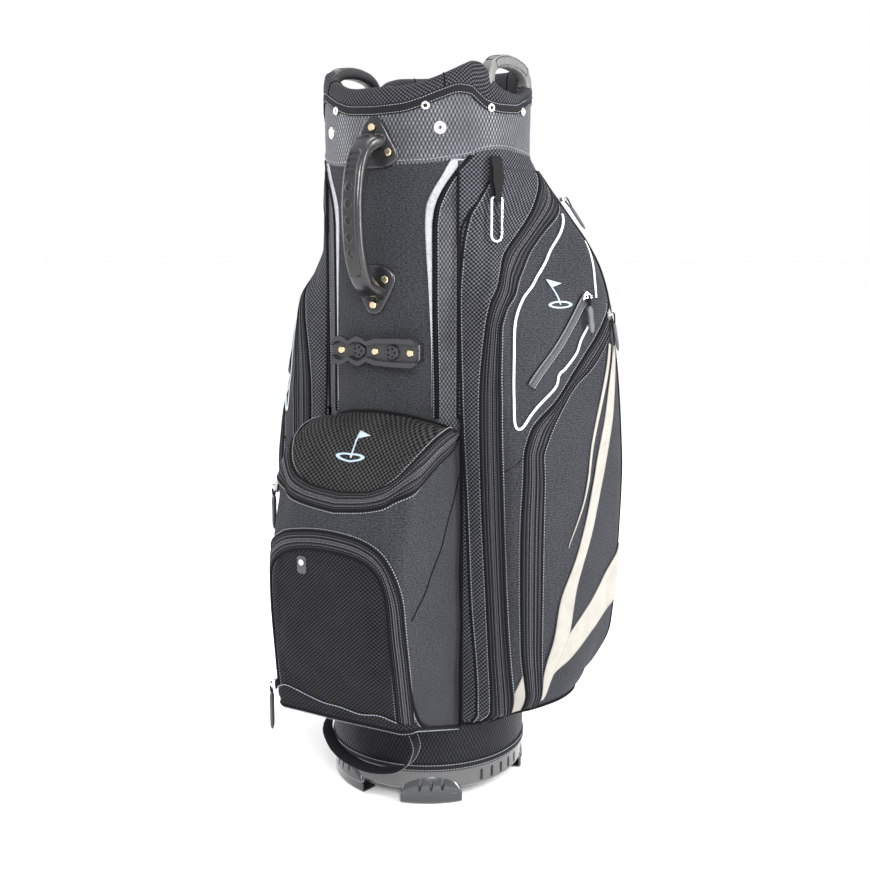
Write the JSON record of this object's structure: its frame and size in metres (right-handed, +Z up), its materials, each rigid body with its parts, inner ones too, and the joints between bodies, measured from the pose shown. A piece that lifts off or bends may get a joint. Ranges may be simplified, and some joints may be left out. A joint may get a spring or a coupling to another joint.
{
  "type": "golf cart bag",
  "caption": "Round golf cart bag on a moulded base, with a divided top, lift handles, a front carry handle, ball and lidded pockets and tall side pockets.",
  "frame": {"origin": "on the floor, in the middle of the bag's overall footprint, which lies 49.1 mm in front of the barrel's axis", "axes": "+Z up along the barrel, X across the bag from one garment pocket to the other, and the ball pocket faces -Y"},
  "size_m": [0.446, 0.3446, 0.877],
  "materials": {
    "embossed_vinyl": "charcoal vinyl embossed with a small scale pattern, satin",
    "woven_fabric": "charcoal woven polyester, matt",
    "mesh_fabric": "black spacer mesh",
    "divider_fabric": "black padded fabric",
    "binding_tape": "black stitched binding tape",
    "webbing": "black ribbed webbing",
    "liner": "black sheet liner",
    "moulded_plastic": "mid-grey moulded plastic, satin",
    "pearl_plastic": "pearl silver-grey moulded plastic",
    "handle_plastic": "black moulded plastic, fine grain",
    "handle_rubber": "black soft rubber",
    "pull_rubber": "grey rubber",
    "nickel": "nickel-plated, bright",
    "brass": "pale brass, bright",
    "anodised_aluminium": "silver anodised",
    "fibreglass_stay": "dark fibreglass"
  },
  "bodies": {
    "bag": {"accessory_discs": "handle_plastic", "accessory_plate": "handle_plastic", "accessory_rails": "handle_rubber", "accessory_screws": "brass", "back_panel": "woven_fabric", "ball_pocket_body": "woven_fabric", "barrel_tube": "liner", "base_feet": "pearl_plastic", "base_moulding": "moulded_plastic", "boot_binding": "binding_tape", "boot_shell": "embossed_vinyl", "carry_handle": "handle_plastic", "cuff_binding": "binding_tape", "divider_rails_short": "divider_fabric", "divider_rails_wide": "divider_fabric", "divider_walls_short": "divider_fabric", "divider_walls_wide": "divider_fabric", "floor_pad": "divider_fabric", "front_panel": "woven_fabric", "garment_pocket_left": "woven_fabric", "garment_pocket_right": "woven_fabric", "handle_end_plates": "handle_plastic", "handle_grip_insert": "handle_rubber", "handle_screws": "brass", "lift_handle_left": "moulded_plastic", "lift_handle_right": "moulded_plastic", "mesh_strips": "mesh_fabric", "snaps_large": "nickel", "snaps_small": "nickel", "support_stays": "fibreglass_stay", "top_collar": "mesh_fabric", "top_ring": "handle_plastic", "towel_loop": "webbing", "upper_cuff": "embossed_vinyl", "upper_pocket_body": "woven_fabric"},
    "ball_door": {"ball_pocket_door": "mesh_fabric", "emblem_tab": "handle_rubber"},
    "lid": {"upper_pocket_lid": "mesh_fabric"},
    "garment_door_right": {"garment_door_right": "woven_fabric"},
    "garment_door_left": {"garment_door_left": "woven_fabric"},
    "ball_slider": {"ball_zip_slider": "nickel"},
    "ball_pull": {"ball_zip_pull": "pull_rubber"},
    "lid_slider": {"lid_zip_slider": "nickel"},
    "lid_pull": {"lid_zip_pull": "pull_rubber"},
    "side_slider_right": {"side_zip_slider_right": "nickel"},
    "side_pull_right": {"side_zip_pull_right": "pull_rubber"},
    "side_slider_left": {"side_zip_slider_left": "nickel"},
    "side_pull_left": {"side_zip_pull_left": "pull_rubber"},
    "garment_slider_right": {"garment_zip_slider_right": "nickel"},
    "garment_pull_right": {"garment_zip_pull_right": "pull_rubber"},
    "garment_slider_left": {"garment_zip_slider_left": "nickel"},
    "garment_pull_left": {"garment_zip_pull_left": "pull_rubber"},
    "door_slider_right": {"door_zip_slider_right": "nickel"},
    "door_pull_right": {"door_zip_pull_right": "pull_rubber"},
    "door_slider_left": {"door_zip_slider_left": "nickel"},
    "door_pull_left": {"door_zip_pull_left": "pull_rubber"},
    "carabiner": {"carabiner_body": "anodised_aluminium"},
    "gate": {"carabiner_gate": "anodised_aluminium"},
    "strap": {"lower_strap": "webbing"}
  },
  "joints": [
    {"name": "ball_door_hinge", "type": "hinge", "parent": "bag", "child": "ball_door", "pos_m": [0, -0.1563, 0.141], "axis": [1, 0, 0], "range_deg": [0, 80]},
    {"name": "lid_hinge", "type": "hinge", "parent": "bag", "child": "lid", "pos_m": [0, -0.0779, 0.4695], "axis": [-1, 0, 0], "range_deg": [0, 75]},
    {"name": "garment_door_right_hinge", "type": "hinge", "parent": "bag", "child": "garment_door_right", "pos_m": [0.2195, 0.1414, 0.35], "axis": [0, 0, 1], "range_deg": [0, 45]},
    {"name": "garment_door_left_hinge", "type": "hinge", "parent": "bag", "child": "garment_door_left", "pos_m": [-0.2195, 0.1414, 0.35], "axis": [0, 0, -1], "range_deg": [0, 45]},
    {"name": "ball_zip_slide", "type": "slide", "parent": "bag", "child": "ball_slider", "axis": [0, 0, 1], "range_m": [0, 0.11]},
    {"name": "ball_pull_swing", "type": "hinge", "parent": "ball_slider", "child": "ball_pull", "pos_m": [-0.09878, -0.15116, 0.156], "axis": [-0.1961, 0.9806, 0], "range_deg": [0, 75]},
    {"name": "lid_zip_slide", "type": "slide", "parent": "bag", "child": "lid_slider", "axis": [-0.1281, 0.6406, 0.7571], "range_m": [0, 0.04]},
    {"name": "lid_pull_swing", "type": "hinge", "parent": "lid_slider", "child": "lid_pull", "pos_m": [-0.09878, -0.13816, 0.39], "axis": [-0.1961, 0.9806, 0], "range_deg": [0, 75]},
    {"name": "side_zip_right_slide", "type": "slide", "parent": "bag", "child": "side_slider_right", "axis": [0.4856, -0.7668, -0.4198], "range_m": [0, 0.03]},
    {"name": "side_pull_right_swing", "type": "hinge", "parent": "side_slider_right", "child": "side_pull_right", "pos_m": [0.15464, 0.10738, 0.7176], "axis": [0.2425, -0.9701, 0], "range_deg": [0, 60]},
    {"name": "side_zip_left_slide", "type": "slide", "parent": "bag", "child": "side_slider_left", "axis": [-0.4856, -0.7668, -0.4198], "range_m": [0, 0.03]},
    {"name": "side_pull_left_swing", "type": "hinge", "parent": "side_slider_left", "child": "side_pull_left", "pos_m": [-0.15464, 0.10738, 0.7176], "axis": [0.2425, 0.9701, 0], "range_deg": [0, 60]},
    {"name": "garment_zip_right_slide", "type": "slide", "parent": "garment_door_right", "child": "garment_slider_right", "axis": [0.2404, -0.6942, -0.6784], "range_m": [0, 0.05]},
    {"name": "garment_pull_right_swing", "type": "hinge", "parent": "garment_slider_right", "child": "garment_pull_right", "pos_m": [0.21341, 0.11613, 0.58315], "axis": [0.1627, -0.9867, 0], "range_deg": [0, 75]},
    {"name": "garment_zip_left_slide", "type": "slide", "parent": "garment_door_left", "child": "garment_slider_left", "axis": [-0.2404, -0.6942, -0.6784], "range_m": [0, 0.05]},
    {"name": "garment_pull_left_swing", "type": "hinge", "parent": "garment_slider_left", "child": "garment_pull_left", "pos_m": [-0.21341, 0.11613, 0.58315], "axis": [0.1627, 0.9867, 0], "range_deg": [0, 75]},
    {"name": "door_zip_right_slide", "type": "slide", "parent": "bag", "child": "door_slider_right", "axis": [-0.1463, -0.6585, -0.7382], "range_m": [0, 0.04]},
    {"name": "door_pull_right_swing", "type": "hinge", "parent": "door_slider_right", "child": "door_pull_right", "pos_m": [0.19817, 0.07698, 0.60471], "axis": [-0.4513, -0.8924, 0], "range_deg": [0, 75]},
    {"name": "door_zip_left_slide", "type": "slide", "parent": "bag", "child": "door_slider_left", "axis": [0.1463, -0.6585, -0.7382], "range_m": [0, 0.04]},
    {"name": "door_pull_left_swing", "type": "hinge", "parent": "door_slider_left", "child": "door_pull_left", "pos_m": [-0.19817, 0.07698, 0.60471], "axis": [-0.4513, 0.8924, 0], "range_deg": [0, 75]},
    {"name": "carabiner_swing", "type": "hinge", "parent": "bag", "child": "carabiner", "pos_m": [0.11776, -0.00333, 0.7162], "axis": [-0.4067, -0.9135, 0], "range_deg": [0, 60]},
    {"name": "gate_hinge", "type": "hinge", "parent": "carabiner", "child": "gate", "pos_m": [0.12085, 0.00362, 0.6806], "axis": [0.9135, -0.4067, 0], "range_deg": [0, 19], "stiffness_Nm_per_rad": 0.02, "springref_deg": -5.73},
    {"name": "strap_swing", "type": "hinge", "parent": "bag", "child": "strap", "pos_m": [0, -0.0894, 0.1034], "axis": [-1, 0, 0], "range_deg": [-2, 30]}
  ]
}
